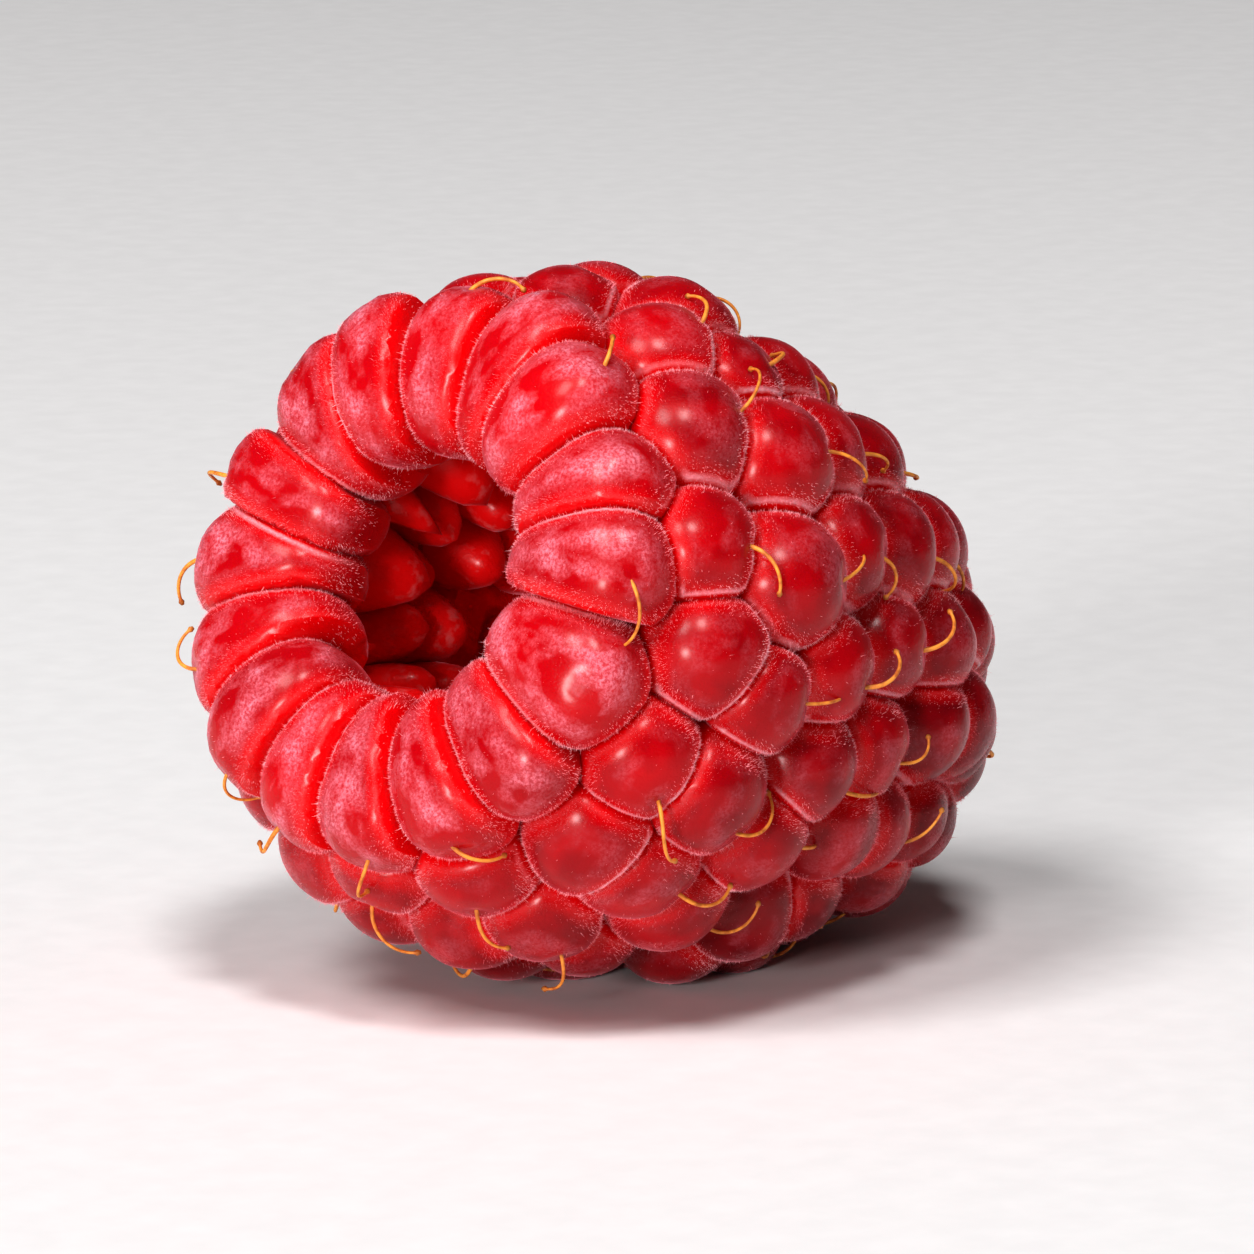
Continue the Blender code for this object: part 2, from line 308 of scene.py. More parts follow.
def skinPoints(drupelet, directions, normals, distances, over):
    # Points of a drupelet's skin along unit directions given in its own axes, how far each is from
    # the nearest crease, in millimetres, and how far it lies over the neighbour there.
    near, far = np.zeros(len(directions)), np.full(len(directions), skin["farthest"])
    for _ in range(skin["halvings"]):
        middle = (near + far) / 2
        inside = crowding(drupelet, directions * middle[:, None]) < 1
        near, far = np.where(inside, middle, near), np.where(inside, far, middle)
    world = directions @ np.array([drupelet.roundAxis, drupelet.alongAxis, drupelet.outAxis])
    facing = world @ normals.T
    pressed = np.maximum(facing, skin["leastFacing"]) / (distances * skin["contactSlack"])
    pressed = np.where(facing > skin["leastFacing"], pressed ** skin["press"], 0)
    closeness = near ** -skin["press"] + pressed.sum(axis=1)
    reach = skin["swell"] * closeness ** (-1 / skin["press"])
    lumps = sum(np.sin(directions @ way * wave + turn) for way, wave, turn in drupelet.lumps)
    lumps = lumps / len(drupelet.lumps) * np.clip(directions[:, 2] + 0.6, 0, 1)
    toStyle = np.arccos(np.clip(directions @ styleDirection(drupelet), -1, 1)) * reach
    dimple = np.exp(-((toStyle / skin["dimpleRadius"]) ** 2))
    reach = reach + skin["lumpHeight"] * lumps - skin["dimpleDepth"] * dimple
    gaps = distances - facing * reach[:, None]
    return drupelet.centre + world * reach[:, None], gaps.min(axis=1), over[gaps.argmin(axis=1)]


core = {
    "outer": 1.9,    # depths of its two faces under the outline, mm
    "inner": 3.7,
    "front": 1.4,    # from the mouth
    "points": 24,
    "turns": 60,
}


def coreCup():
    # The fused middle of the wall, which every drupelet grows from.
    line = outline()
    loop = []
    for depth, order in ((core["outer"], 1), (core["inner"], -1)):
        run = []
        for at in np.linspace(0, line[0][-1], core["points"]):
            s, r, outS, outR = onOutline(line, at)
            run.append((max(s - depth * outS, core["front"]), 0, max(r - depth * outR, 0)))
        end = fruit["length"] - depth
        run = [p for p in run if p[2] > 0.3 and p[0] < end] + [(end, 0, 0)]
        loop += run[::order]
    mesh = bmesh.new()
    points = [mesh.verts.new(p) for p in loop]
    edges = [mesh.edges.new(pair) for pair in zip(points, points[1:])]
    edges.append(mesh.edges.new((points[-1], points[0])))
    bmesh.ops.spin(mesh, geom=points + edges, cent=(0, 0, 0), axis=(1, 0, 0), dvec=(0, 0, 0),
                   angle=2 * math.pi, steps=core["turns"], use_merge=True, use_duplicate=False)
    bmesh.ops.remove_doubles(mesh, verts=mesh.verts, dist=1e-4)
    bmesh.ops.delete(mesh, geom=[e for e in mesh.edges if not e.link_faces], context="EDGES")
    bmesh.ops.recalc_face_normals(mesh, faces=mesh.faces)
    data = bpy.data.meshes.new("core")
    mesh.to_mesh(data)
    mesh.free()
    return data


def addValues(data, **values):
    for name, numbers in values.items():
        layer = data.attributes.new(name, "FLOAT", "POINT")
        layer.data.foreach_set("value", np.asarray(numbers, np.float32))


def toFrame(points):
    # From the fruit's own space in millimetres to the frame in metres, before it is set down.
    tilt = np.array(Matrix.Rotation(fruit["tilt"], 3, "Y"))
    return points @ tilt.T * mm


def placeOn(points, shift):
    # Sets the berry down: each part below the table is pressed flat onto it.
    points = points + shift
    z = points[:, 2]
    roundness = fruit["dentRound"] * mm
    points[:, 2] = (z + np.sqrt(z * z + roundness * roundness)) / 2
    return points


def meshPoints(data):
    points = np.empty(len(data.vertices) * 3)
    data.vertices.foreach_get("co", points)
    return points.reshape(-1, 3)


def makeDrupelets():
    draw = np.random.RandomState(fruit["seed"])
    drupelets = [*rimDrupelets(draw), *sideDrupelets(draw)]
    for drupelet in drupelets:
        drupelet.styleLean = draw.uniform(-skin["dimpleStray"], skin["dimpleStray"], 2)
        drupelet.lumps = []
        for wave in skin["lumpWaves"]:
            way = draw.normal(size=3)
            drupelet.lumps.append((way / np.linalg.norm(way), wave, draw.uniform(0, 2 * math.pi)))
        towardsTip = max(drupelet.centre[0] / fruit["length"], 0)
        # painted shade: drupelets underneath are given a deeper tint
        under = np.clip(-toFrame(drupelet.centre)[2] / mm / fruit["radius"], 0, 1)
        stray = draw.uniform(-skin["tintSpread"], skin["tintSpread"])
        drupelet.tint = 1.0 - skin["tipTint"] * towardsTip**0.7 - skin["paintedShadeBelow"] * under + stray
    centres = np.array([d.centre for d in drupelets])
    vigour = np.array([d.vigour for d in drupelets])
    # Round the rim each drupelet laps the next, both ways from one: how far each is from that one.
    turn = np.arctan2(centres[:, 2], centres[:, 1]) - skin["lapFrom"]
    fromFirst = np.abs((turn + math.pi) % (2 * math.pi) - math.pi)
    lapOrder = np.where([d.isRim for d in drupelets], 0.01 + fromFirst, 0)
    for index, drupelet in enumerate(drupelets):
        drupelet.contact = contactFaces(index, centres, vigour, lapOrder)
    return drupelets


def makeSkin(drupelets):
    directions, faces = localGrid()
    group = bpy.data.collections.new("drupelets")
    bpy.context.scene.collection.children.link(group)
    first = None
    for drupelet in drupelets:
        points, fromCrease, over = skinPoints(drupelet, directions, *drupelet.contact)
        axes = np.array([drupelet.roundAxis, drupelet.alongAxis, drupelet.outAxis])
        outward = faces if np.linalg.det(axes) > 0 else [f[::-1] for f in faces]
        data = bpy.data.meshes.new("drupelet")
        data.from_pydata(points.tolist(), [], outward)
        addValues(data, tint=np.full(len(points), drupelet.tint),
                  rim=np.full(len(points), float(drupelet.isRim)), outness=directions[:, 2],
                  fromCrease=np.clip(fromCrease, 0, 2), over=over)
        thing = bpy.data.objects.new("drupelet", data)
        if first is None:
            first = thing
            bpy.context.scene.collection.objects.link(thing)
        else:
            group.objects.link(thing)
    cup = coreCup()
    count = len(cup.vertices)
    addValues(cup, tint=np.full(count, 0.5), rim=np.zeros(count), outness=np.full(count, -1.0),
              fromCrease=np.zeros(count), over=np.zeros(count))
    group.objects.link(bpy.data.objects.new("core", cup))
    join = first.modifiers.new("join", "BOOLEAN")
    join.operation = "UNION"
    join.solver = "MANIFOLD"  # closed parts, and hundreds of times faster here than the exact solver
    join.operand_type = "COLLECTION"
    join.collection = group
    graph = bpy.context.evaluated_depsgraph_get()
    data = bpy.data.meshes.new_from_object(first.evaluated_get(graph))
    for thing in [first, *group.objects]:
        bpy.data.objects.remove(thing)
    bpy.data.collections.remove(group)

    points = toFrame(meshPoints(data))
    low, high = points.min(axis=0), points.max(axis=0)
    middle = (np.array(nodeLow) + np.array(nodeHigh)) / 2
    shift = np.array([middle[0] - (low[0] + high[0]) / 2, middle[1] - (low[1] + high[1]) / 2,
                      nodeLow[2] - low[2] - fruit["dent"] * mm])
    data.vertices.foreach_set("co", placeOn(points, shift).ravel())
    data.update()
    data.shade_smooth()
    data.set_sharp_from_angle(angle=skin["creaseAngle"])
    data.materials.clear()
    data.name = "berrySkin"
    berrySkin = bpy.data.objects.new("berrySkin", data)
    bpy.context.scene.collection.objects.link(berrySkin)
    return berrySkin, shift


def hexColour(text, alpha=1.0):
    # sRGB hex to the linear values that Blender's nodes use
    parts = [int(text[i : i + 2], 16) / 255 for i in (1, 3, 5)]
    linear = [c / 12.92 if c <= 0.04045 else ((c + 0.055) / 1.055) ** 2.4 for c in parts]
    return (*linear, alpha)


def addNode(tree, kind, inputs=None, out=0, **settings):
    # Adds a node with its settings, links or sets its inputs by name or number, and gives one output.
    node = tree.nodes.new("ShaderNode" + kind)
    for name, value in settings.items():
        setattr(node, name, value)
    for key, value in (inputs or {}).items():
        if isinstance(value, bpy.types.NodeSocket):
            tree.links.new(value, node.inputs[key])
        else:
            node.inputs[key].default_value = value
    return node.outputs[out] if node.outputs else node


def newMaterial(name):
    material = bpy.data.materials.new(name)
    material.use_nodes = True
    material.node_tree.nodes.clear()
    return material, material.node_tree


ripeSkin = {
    "juice": "#c60010",
    "deepJuice": "#74000c",
    # painted glow: the brighter red painted into the creases
    "paintedCreaseGlow": "#e20007",
    "bloom": "#e68c9c",
    # painted sheen: the pale pink of the line round each drupelet's shoulder
    "line": "#ffbcc6",
    "scar": "#ee7f80",
    # painted glow: the inner ends' red, made brighter as though lit through the thin wall
    "hollow": "#ff1214",
    "sheen": "#ff90a0",
    "ripenessPatch": 3.0,  # mm, as are all of these
    "stoneCloud": 1.1,
    "bloomPatch": 1.3,
    "bloomStreak": 0.9,    # across streaks that follow a drupelet's edge
    "bloomFleck": 0.10,    # coarser than the wax really is, to show
    "tear": 0.5,           # of the scars in the hollow
    "pulpCell": 0.35,      # the faint cells of the pulp under the skin
    "grain": 0.08,         # the skin's own cells, some four times too coarse, to show
    "bloomOnSide": 0.34,   # how much of it lies on the side and the rim, and how strong the painted sheen line on the shoulders is
    "bloomOnRim": 0.95,
    "paintedSheenLine": 1.00,
}


def ripeSkinMaterial():
    # Thin waxy skin, tight over red juice. The juice lets light in and gives it back red, so creases
    # glow instead of going black, helped by painted glow: the creases are also painted a brighter red.
    # The wax and the down's short hairs lay a pale pink frost over it, with a painted sheen line round
    # each shoulder.
    material, tree = newMaterial("ripeSkin")
    place = addNode(tree, "TexCoord", out="Object")
    onRim = addNode(tree, "Attribute", out="Fac", attribute_name="rim")
    tint = addNode(tree, "Attribute", out="Fac", attribute_name="tint")
    outness = addNode(tree, "Attribute", out="Fac", attribute_name="outness")
    fromCrease = addNode(tree, "Attribute", out="Fac", attribute_name="fromCrease")

    # juice: each drupelet has its own tone, deeper towards the tip and, as painted shade, deeper
    # underneath;
    # it varies a little across the fruit
    broad = addNode(tree, "TexNoise", {"Vector": place, "Detail": 2,
                                       "Scale": 1 / (ripeSkin["ripenessPatch"] * mm)})
    half = addNode(tree, "Math", {0: broad, 1: 0.5}, operation="MULTIPLY")
    toneAndShade = addNode(tree, "Math", {0: tint, 1: 0.7, 2: half}, operation="MULTIPLY_ADD")
    # the stone inside shows through the flesh as a darker cloud, less on the frosted rim
    stone = addNode(tree, "TexNoise", {"Vector": place, "Scale": 1 / (ripeSkin["stoneCloud"] * mm),
                                       "Detail": 1})
    clear = addNode(tree, "MapRange", {"Value": onRim, "To Min": 0.26, "To Max": 0.05})
    stone = addNode(tree, "MapRange", {"Value": stone, "From Min": 0.42, "From Max": 0.66,
                                       "To Max": clear})
    toneAndShade = addNode(tree, "Math", {0: toneAndShade, 1: stone}, operation="SUBTRACT")
    juice = addNode(tree, "Mix", {0: toneAndShade, 6: hexColour(ripeSkin["deepJuice"]),
                                  7: hexColour(ripeSkin["juice"])}, out=2, data_type="RGBA")
    # painted glow: near a crease the juice is painted a brighter, purer red, for light coming back out
    # of it
    paintedGlowInCrease = addNode(tree, "MapRange", {"Value": fromCrease, "From Min": 0.5, "From Max": 0.05,
                                          "To Max": 0.85})
    juice = addNode(tree, "Mix", {0: paintedGlowInCrease, 6: juice, 7: hexColour(ripeSkin["paintedCreaseGlow"])},
                    out=2, data_type="RGBA")

    # bloom: wax in patches, broken into flecks, thickest on the rim and worn off in the creases
    # (W grows with the distance from the creases, so the patches stretch a little alongside them)
    stretch = ripeSkin["bloomPatch"] / ripeSkin["bloomStreak"] * mm
    across = addNode(tree, "Math", {0: fromCrease, 1: stretch}, operation="MULTIPLY")
    patches = addNode(tree, "TexNoise", {"Vector": place, "W": across, "Detail": 2, "Roughness": 0.5,
                                         "Scale": 1 / (ripeSkin["bloomPatch"] * mm)},
                      noise_dimensions="4D")
    bare = addNode(tree, "MapRange", {"Value": onRim, "To Min": 0.48, "To Max": 0.40})
    full = addNode(tree, "Math", {0: bare, 1: 0.22}, operation="ADD")
    patches = addNode(tree, "MapRange", {"Value": patches, "From Min": bare, "From Max": full})
    flecks = addNode(tree, "TexNoise", {"Vector": place, "Scale": 1 / (ripeSkin["bloomFleck"] * mm),
                                        "Detail": 3, "Roughness": 0.7})
    flecks = addNode(tree, "MapRange", {"Value": flecks, "From Min": 0.40, "From Max": 0.64,
                                        "To Min": 0.22})
    onDome = addNode(tree, "MapRange", {"Value": fromCrease, "From Min": 0.15, "From Max": 0.9})
    onOutside = addNode(tree, "MapRange", {"Value": outness, "From Min": -0.35, "From Max": 0.25})
    amount = addNode(tree, "MapRange", {"Value": onRim, "To Min": ripeSkin["bloomOnSide"],
                                        "To Max": ripeSkin["bloomOnRim"]})
    bloom = patches
    for share in (flecks, onDome, onOutside, amount):
        bloom = addNode(tree, "Math", {0: bloom, 1: share}, operation="MULTIPLY")

    # a pale line round each drupelet's shoulder: painted sheen, for the light that the down catches
    # where a drupelet's edge is seen against its neighbour, strongest on the one that laps over
    line = addNode(tree, "MapRange", {"Value": fromCrease, "From Min": 0.07, "From Max": 0.13,
                                      "To Max": ripeSkin["paintedSheenLine"]})
    before = addNode(tree, "MapRange", {"Value": fromCrease, "From Min": 0.15, "From Max": 0.25,
                                        "To Min": 1, "To Max": 0})
    ragged = addNode(tree, "MapRange", {"Value": flecks, "To Min": 0.50})
    fading = addNode(tree, "MapRange", {"Value": broad, "From Min": 0.38, "From Max": 0.58,
                                        "To Min": 0.65})
    over = addNode(tree, "Attribute", out="Fac", attribute_name="over")
    sheenWhereLapping = addNode(tree, "MapRange", {"Value": over, "From Min": -0.6, "From Max": 0.4,
                                         "To Min": 0.08})
    for share in (before, ragged, fading, sheenWhereLapping, onOutside):
        line = addNode(tree, "Math", {0: line, 1: share}, operation="MULTIPLY")
    colour = addNode(tree, "Mix", {0: bloom, 6: juice, 7: hexColour(ripeSkin["bloom"])},
                     out=2, data_type="RGBA")
    colour = addNode(tree, "Mix", {0: line, 6: colour, 7: hexColour(ripeSkin["line"])},
                     out=2, data_type="RGBA")

    # inner ends, in the hollow: their own red made brighter as painted glow, for light coming through
    # the thin wall, each with the pale scar where it came off the core
    inside = addNode(tree, "MapRange", {"Value": outness, "From Min": -0.25, "From Max": -0.75,
                                        "To Max": 0.85})
    colour = addNode(tree, "Mix", {0: inside, 6: colour, 7: hexColour(ripeSkin["hollow"])},
                     out=2, data_type="RGBA")
    torn = addNode(tree, "TexNoise", {"Vector": place, "Scale": 1 / (ripeSkin["tear"] * mm),
                                      "Detail": 3})
    torn = addNode(tree, "MapRange", {"Value": torn, "From Min": 0.55, "From Max": 0.68, "To Max": 0.5})
    atEnd = addNode(tree, "MapRange", {"Value": outness, "From Min": -0.93, "From Max": -0.99})
    scar = addNode(tree, "Math", {0: atEnd, 1: torn}, operation="MULTIPLY")
    colour = addNode(tree, "Mix", {0: scar, 6: colour, 7: hexColour(ripeSkin["scar"])},
                     out=2, data_type="RGBA")

    roughness = addNode(tree, "MapRange", {"Value": bloom, "From Max": 0.5, "To Min": 0.24,
                                           "To Max": 0.52})
    cells = addNode(tree, "TexNoise", {"Vector": place, "Scale": 1 / (ripeSkin["pulpCell"] * mm),
                                       "Detail": 2})
    grain = addNode(tree, "TexNoise", {"Vector": place, "Scale": 1 / (ripeSkin["grain"] * mm),
                                       "Detail": 2})
    grain = addNode(tree, "Math", {0: grain, 1: 0.45}, operation="MULTIPLY")
    relief = addNode(tree, "Math", {0: cells, 1: 0.55, 2: grain}, operation="MULTIPLY_ADD")
    bump = addNode(tree, "Bump", {"Strength": 0.6, "Distance": 0.10 * mm, "Height": relief})

    shader = addNode(tree, "BsdfPrincipled", {
        "Base Color": colour,
        "Roughness": roughness,
        "Normal": bump,
        "IOR": 1.42,
        "Specular IOR Level": 0.08,
        "Subsurface Weight": 0.75,
        "Subsurface Radius": (1.0, 0.12, 0.10),
        "Subsurface Scale": 1.6 * mm,
        "Coat Weight": 0.40,
        "Coat Roughness": 0.24,
        "Sheen Weight": 0.6,
        "Sheen Roughness": 0.25,
        "Sheen Tint": hexColour(ripeSkin["sheen"]),
    })
    addNode(tree, "OutputMaterial", {"Surface": shader})
    return material


driedStyle = {
    "golden": "#f2a03e",
    "brown": "#c06a26",
    "tip": "#7a431a",
    "streak": 0.25,   # mm
    "fibre": 0.05,    # mm
}


def driedStyleMaterial():
    # A dried style: a dead, papery thread gone golden, browner in streaks and in its little knob.
    material, tree = newMaterial("driedStyle")
    place = addNode(tree, "TexCoord", out="Object")
    along = addNode(tree, "Attribute", out="Fac", attribute_name="along")
    streaks = addNode(tree, "TexNoise", {"Vector": place, "Detail": 3,
                                         "Scale": 1 / (driedStyle["streak"] * mm)})
    browned = addNode(tree, "MapRange", {"Value": streaks, "From Min": 0.42, "From Max": 0.68})
    colour = addNode(tree, "Mix", {0: browned, 6: hexColour(driedStyle["golden"]),
                                   7: hexColour(driedStyle["brown"])}, out=2, data_type="RGBA")
    atKnob = addNode(tree, "MapRange", {"Value": along, "From Min": 0.90, "From Max": 0.98,
                                        "To Max": 0.6})
    colour = addNode(tree, "Mix", {0: atKnob, 6: colour, 7: hexColour(driedStyle["tip"])},
                     out=2, data_type="RGBA")
    fibre = addNode(tree, "TexNoise", {"Vector": place, "Scale": 1 / (driedStyle["fibre"] * mm),
                                       "Detail": 2})
    bump = addNode(tree, "Bump", {"Strength": 0.4, "Distance": 0.02 * mm, "Height": fibre})
    roughness = addNode(tree, "MapRange", {"Value": streaks, "From Min": 0.3, "From Max": 0.7,
                                           "To Min": 0.42, "To Max": 0.6})
    shader = addNode(tree, "BsdfPrincipled", {
        "Base Color": colour,
        "Roughness": roughness,
        "Normal": bump,
        "Subsurface Weight": 0.3,
        "Subsurface Radius": (1.0, 0.6, 0.25),
        "Subsurface Scale": 0.1 * mm,
    })
    addNode(tree, "OutputMaterial", {"Surface": shader})
    return material


skinDown = {"pale": "#ffbec6", "pink": "#ff929e", "castPatch": 1.2}   # mm


def skinDownMaterial():
    # Plant down: colourless hairs, painted pink for the red light they take from the skin, that catch
    # the light at its edge.
    material, tree = newMaterial("skinDown")
    place = addNode(tree, "TexCoord", out="Object")
    cast = addNode(tree, "TexNoise", {"Vector": place, "Scale": 1 / (skinDown["castPatch"] * mm),
                                      "Detail": 2})
    # painted light: the pink of the hairs stands in for red light from the skin shining through them
    cast = addNode(tree, "MapRange", {"Value": cast, "From Min": 0.4, "From Max": 0.65})
    colour = addNode(tree, "Mix", {0: cast, 6: hexColour(skinDown["pale"]),
                                   7: hexColour(skinDown["pink"])}, out=2, data_type="RGBA")
    shader = addNode(tree, "BsdfPrincipled", {"Base Color": colour, "Roughness": 0.6})
    addNode(tree, "OutputMaterial", {"Surface": shader})
    return material


styles = {
    "share": 0.86,                # of the drupelets still have theirs
    "length": (1.7, 2.9),         # mm
    "thickness": (0.055, 0.075),  # radius at the root, mm
    "taper": 0.35,                # of that radius, lost on the way
    "knob": 0.095,                # radius of the stigma at its end, mm
    "knobFrom": 0.93,             # of the length
    "rooted": 0.12,               # under the skin, mm
    "rise": (60, 22),             # from the skin at its root, in degrees, and the spread of that
    "hook": (115, 35),            # how far it has bent over at its end, and the spread of that
    "swing": 70,                  # spread of the way it heads
    "curl": 75,                   # spread of its turn to one side
    "clearance": 0.05,            # over the table, mm
    "sides": 8,
    "steps": 22,
    "seed": 5,
}


def tube(points, radii, sides):
    # A closed tapered tube along points, with a frame carried along so that it doesn't twist.
    points = np.asarray(points)
    tangent = np.gradient(points, axis=0)
    tangent /= np.linalg.norm(tangent, axis=1)[:, None]
    across = np.cross(tangent[0], [0.3, 0.5, 0.8])
    turns = np.arange(sides) * 2 * math.pi / sides
    rings = []
    for point, way, radius in zip(points, tangent, radii):
        across = across - way * (across @ way)
        across /= np.linalg.norm(across)
        up = np.cross(way, across)
        rings.append(point + radius * (np.outer(np.cos(turns), across) + np.outer(np.sin(turns), up)))
    vertices = np.vstack([*rings, points[:1], points[-1:]])
    count = len(points)
    faces = []
    for k in range(sides):
        beside = (k + 1) % sides
        for row in range(count - 1):
            a, b = row * sides, (row + 1) * sides
            faces.append((a + k, a + beside, b + beside, b + k))
        faces.append((beside, k, count * sides))
        end = (count - 1) * sides
        faces.append((end + k, end + beside, count * sides + 1))
    share = np.repeat(np.linspace(0, 1, count), sides)
    return vertices, faces, np.concatenate([share, [0, 1]])


def makeStyles(drupelets, shift):
    draw = np.random.RandomState(styles["seed"])
    allPoints, allFaces, allAlong = [], [], []
    rise, riseSpread = styles["rise"]
    hook, hookSpread = styles["hook"]
    steps = styles["steps"]
    offset = 0
    for drupelet in drupelets:
        kept = draw.uniform() < styles["share"]
        length = draw.uniform(*styles["length"])
        bend, lift, sweep, curl = draw.uniform(-1, 1, 4)
        thick = draw.uniform(*styles["thickness"])
        if not kept:
            continue
        way = styleDirection(drupelet)
        root, *_ = skinPoints(drupelet, way[None], *drupelet.contact)
        axes = np.array([drupelet.roundAxis, drupelet.alongAxis, drupelet.outAxis])
        outward = way @ axes
        tipward = np.array([1.0, 0.0, 0.0])
        tipward = tipward - outward * (tipward @ outward)
        tipward /= np.linalg.norm(tipward)
        sideways = np.cross(outward, tipward)
        # It leaves the skin standing up, bends over evenly, mostly until it points back at the
        # skin, and turns more and more to one side.
        heading = math.radians(rise + riseSpread * lift)
        point = root[0] - outward * styles["rooted"]
        path = [point]
        swing = math.radians(styles["swing"] * sweep)
        for step in range(steps):
            share = step / steps
            elevation = heading - math.radians(hook + hookSpread * bend) * share
            yaw = swing + math.radians(styles["curl"] * curl) * share**2
            flat = tipward * math.cos(yaw) + sideways * math.sin(yaw)
            point = point + (flat * math.cos(elevation) + outward * math.sin(elevation)) * length / steps
            path.append(point)
        share = np.linspace(0, 1, steps + 1)
        radii = thick * (1 - styles["taper"] * share)
        knobMiddle = (1 + styles["knobFrom"]) / 2
        rounded = np.sqrt(np.clip(1 - ((share - knobMiddle) / 0.04) ** 2, 0.15, 1))
        radii = np.where(share > styles["knobFrom"], styles["knob"] * rounded, radii)
        points, faces, along = tube(path, radii, styles["sides"])
        allPoints.append(points)
        allAlong.append(along)
        allFaces += [tuple(offset + i for i in face) for face in faces]
        offset += len(points)
    points = toFrame(np.vstack(allPoints)) + shift
    points[:, 2] = np.maximum(points[:, 2], styles["clearance"] * mm)
    data = bpy.data.meshes.new("styles")
    data.from_pydata(points.tolist(), [], allFaces)
    addValues(data, along=np.concatenate(allAlong))
    data.shade_smooth()
    piece = bpy.data.objects.new("styles", data)
    bpy.context.scene.collection.objects.link(piece)
    return piece


down = {
    "count": 198000,
    "length": (0.05, 0.09),       # mm
    "longShare": 0.03,            # of the hairs are long ones
    "longLength": (0.16, 0.24),
    "width": 0.015,               # at the root, mm
    "flankDepth": 0.40,           # mm from a crease, where half of it has gone
    "bareDepth": 0.15,            # mm from a crease, nearer than which it thins out too
    "onCrowns": 0.02,             # of its density on the flanks
    "outsideFrom": (-0.45, 0.3),  # outness where it begins, and over how much it thickens
    "rooted": 0.01,               # under the skin, mm
    "clearance": 0.01,            # over the table, mm
    "lean": 0.15,                 # spread of their directions
    "seed": 8,
}


def makeDown(berrySkin):
    draw = np.random.RandomState(down["seed"])
    data = berrySkin.data
    data.calc_loop_triangles()
    count = len(data.loop_triangles)
    corners = np.empty(count * 3, np.int32)
    data.loop_triangles.foreach_get("vertices", corners)
    corners = corners.reshape(-1, 3)
    points = meshPoints(data)
    outness = np.empty(len(points), np.float32)
    data.attributes["outness"].data.foreach_get("value", outness)
    fromCrease = np.empty(len(points), np.float32)
    data.attributes["fromCrease"].data.foreach_get("value", fromCrease)
    a, b, c = points[corners[:, 0]], points[corners[:, 1]], points[corners[:, 2]]
    normal = np.cross(b - a, c - a)
    area = np.linalg.norm(normal, axis=1)
    normal = normal / np.maximum(area, 1e-18)[:, None]
    begins, thickens = down["outsideFrom"]
    weight = area * np.clip((outness[corners].mean(axis=1) - begins) / thickens, 0, 1)
    onFlank = np.clip(1.5 - fromCrease[corners].mean(axis=1) / down["flankDepth"], 0, 1)
    weight *= down["onCrowns"] + onFlank
    weight *= np.clip(fromCrease[corners].mean(axis=1) / down["bareDepth"], 0, 1) ** 2
    weight[a[:, 2] < 0.1 * mm] = 0  # none where the berry rests
    chosen = draw.choice(count, down["count"], p=weight / weight.sum())
    u, v = draw.uniform(size=(2, down["count"]))
    fold = u + v > 1
    u, v = np.where(fold, 1 - u, u), np.where(fold, 1 - v, v)
    root = a[chosen] + (b - a)[chosen] * u[:, None] + (c - a)[chosen] * v[:, None]
    normal = normal[chosen]
    lean = draw.normal(size=root.shape) * down["lean"]
    way = normal + lean - normal * (lean * normal).sum(axis=1)[:, None] * 0.5
    way /= np.linalg.norm(way, axis=1)[:, None]
    length = draw.uniform(*down["length"], down["count"])
    isLong = draw.uniform(size=down["count"]) < down["longShare"]
    length = np.where(isLong, draw.uniform(*down["longLength"], down["count"]), length) * mm
    across = np.cross(way, draw.normal(size=root.shape))
    across *= down["width"] / 2 * mm / np.linalg.norm(across, axis=1)[:, None]
    base = root - normal * down["rooted"] * mm
    tips = root + way * length[:, None]
    tips[:, 2] = np.maximum(tips[:, 2], down["clearance"] * mm)
    vertices = np.stack([base - across, base + across, tips], axis=1).reshape(-1, 3)
    faces = np.arange(down["count"] * 3).reshape(-1, 3)
    mesh = bpy.data.meshes.new("down")
    mesh.from_pydata(vertices.tolist(), [], faces.tolist())
    piece = bpy.data.objects.new("down", mesh)
    bpy.context.scene.collection.objects.link(piece)
    return piece


studio = {
    "cameraAzimuth": -47,     # degrees
    "cameraElevation": 11.3,
    "cameraDistance": 0.25,   # metres
    "lens": 245,              # millimetres
    "aim": (0.0, 0.0, 0.0102),   # about the middle of the berry
    "floorSize": 3.0,
    "worldStrength": 0.05,
    "gamma": 0.86,            # under 1 the picture is a little deeper in its dark tones
    "lights": {               # azimuth and elevation in degrees, distance and size in m, power in W
        "keyLight": (-92, 52, 0.9, 0.30, 4.6),
        "topLight": (-40, 62, 1.0, 0.20, 4.9),
        "frontLight": (-72, 12, 1.0, 0.18, 6.3),
    },
}


whiteCard = {"light": "#f8f6f6", "grey": "#f4f2f2", "pulp": 1.5}   # mm


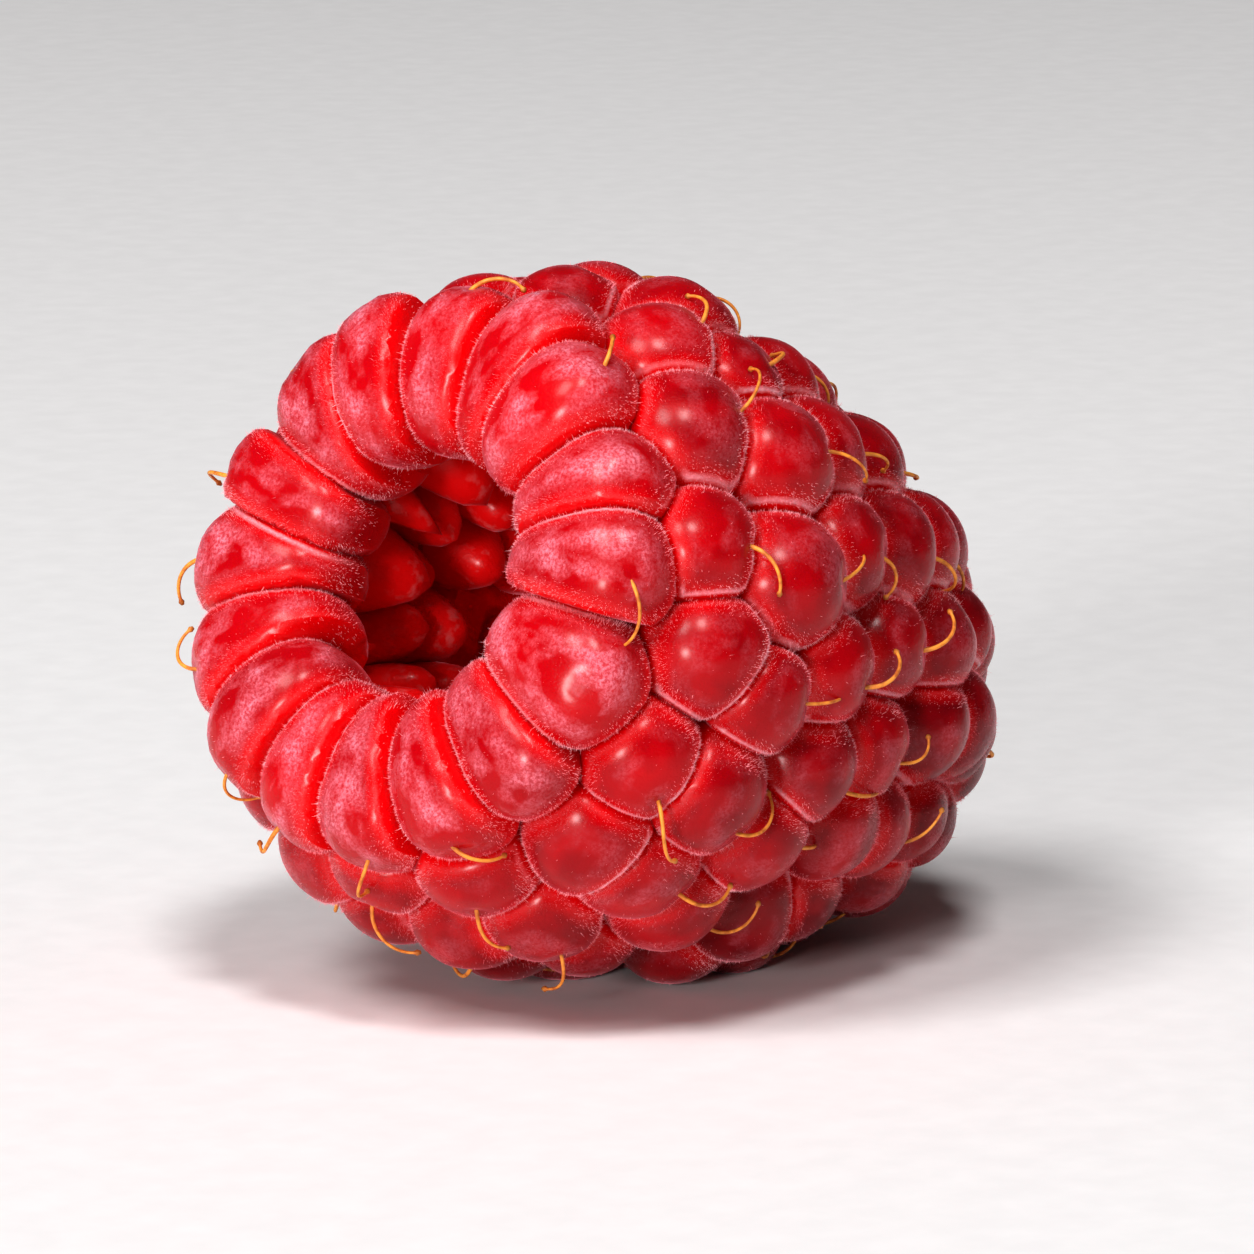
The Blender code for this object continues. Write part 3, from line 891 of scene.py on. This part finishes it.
def whiteCardMaterial():
    # Matt white card: pressed paper, faintly uneven, with hardly any shine.
    material, tree = newMaterial("whiteCard")
    place = addNode(tree, "TexCoord", out="Object")
    pulp = addNode(tree, "TexNoise", {"Vector": place, "Scale": 1 / (whiteCard["pulp"] * mm),
                                      "Detail": 4})
    share = addNode(tree, "MapRange", {"Value": pulp, "From Min": 0.35, "From Max": 0.7})
    colour = addNode(tree, "Mix", {0: share, 6: hexColour(whiteCard["grey"]),
                                   7: hexColour(whiteCard["light"])}, out=2, data_type="RGBA")
    bump = addNode(tree, "Bump", {"Strength": 0.05, "Distance": 0.05 * mm, "Height": pulp})
    shader = addNode(tree, "BsdfPrincipled", {"Base Color": colour, "Roughness": 0.8, "Normal": bump})
    addNode(tree, "OutputMaterial", {"Surface": shader})
    return material


def makeFloor():
    bpy.ops.mesh.primitive_plane_add(size=studio["floorSize"])
    floor = bpy.context.object
    floor.name = "floor"
    floor.data.materials.append(whiteCardMaterial())


def aimed(thing, place, target):
    thing.location = place
    thing.rotation_mode = "QUATERNION"
    thing.rotation_quaternion = (Vector(place) - Vector(target)).to_track_quat("Z", "Y")
    bpy.context.scene.collection.objects.link(thing)


def seenFrom(azimuth, elevation):
    # The way out to a viewer or a light: at azimuth 0 it looks along +Y. Angles are in degrees.
    azimuth, elevation = math.radians(azimuth), math.radians(elevation)
    return Vector((math.sin(azimuth) * math.cos(elevation), -math.cos(azimuth) * math.cos(elevation),
                   math.sin(elevation)))


def softLight(name, azimuth, elevation, distance, size, power, aim):
    lamp = bpy.data.lights.new(name, "AREA")
    lamp.shape = "SQUARE"
    lamp.size = size
    lamp.energy = power
    aimed(bpy.data.objects.new(name, lamp), seenFrom(azimuth, elevation) * distance, aim)


def makeStudio():
    scene = bpy.context.scene
    makeFloor()
    world = bpy.data.worlds.new("studio")
    world.use_nodes = True
    background = world.node_tree.nodes["Background"]
    background.inputs["Color"].default_value = (1, 1, 1, 1)
    background.inputs["Strength"].default_value = studio["worldStrength"]
    scene.world = world
    aim = Vector(studio["aim"])
    for name, setting in studio["lights"].items():
        softLight(name, *setting, aim)

    camera = bpy.data.cameras.new("camera")
    camera.lens = studio["lens"]
    eye = bpy.data.objects.new("camera", camera)
    back = seenFrom(studio["cameraAzimuth"], studio["cameraElevation"])
    aimed(eye, aim + back * studio["cameraDistance"], aim)
    camera.clip_start = 0.005
    camera.clip_end = 10
    scene.camera = eye
    scene.view_settings.view_transform = "Standard"
    scene.view_settings.look = "None"
    scene.view_settings.gamma = studio["gamma"]


drupelets = makeDrupelets()
print("layout:", len(drupelets), "drupelets")

berrySkin, shift = makeSkin(drupelets)
berrySkin.data.materials.append(ripeSkinMaterial())
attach(berrySkin, "root")
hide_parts("raspberry")
print("skin:", len(berrySkin.data.polygons), "faces")

stylePiece = makeStyles(drupelets, shift)
stylePiece.data.materials.append(driedStyleMaterial())
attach(stylePiece, "root")
print("styles:", len(stylePiece.data.polygons), "faces")

downPiece = makeDown(berrySkin)
downPiece.data.materials.append(skinDownMaterial())
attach(downPiece, "root")
print("down:", len(downPiece.data.polygons), "faces")

makeStudio()
print("studio: floor, lights and camera")
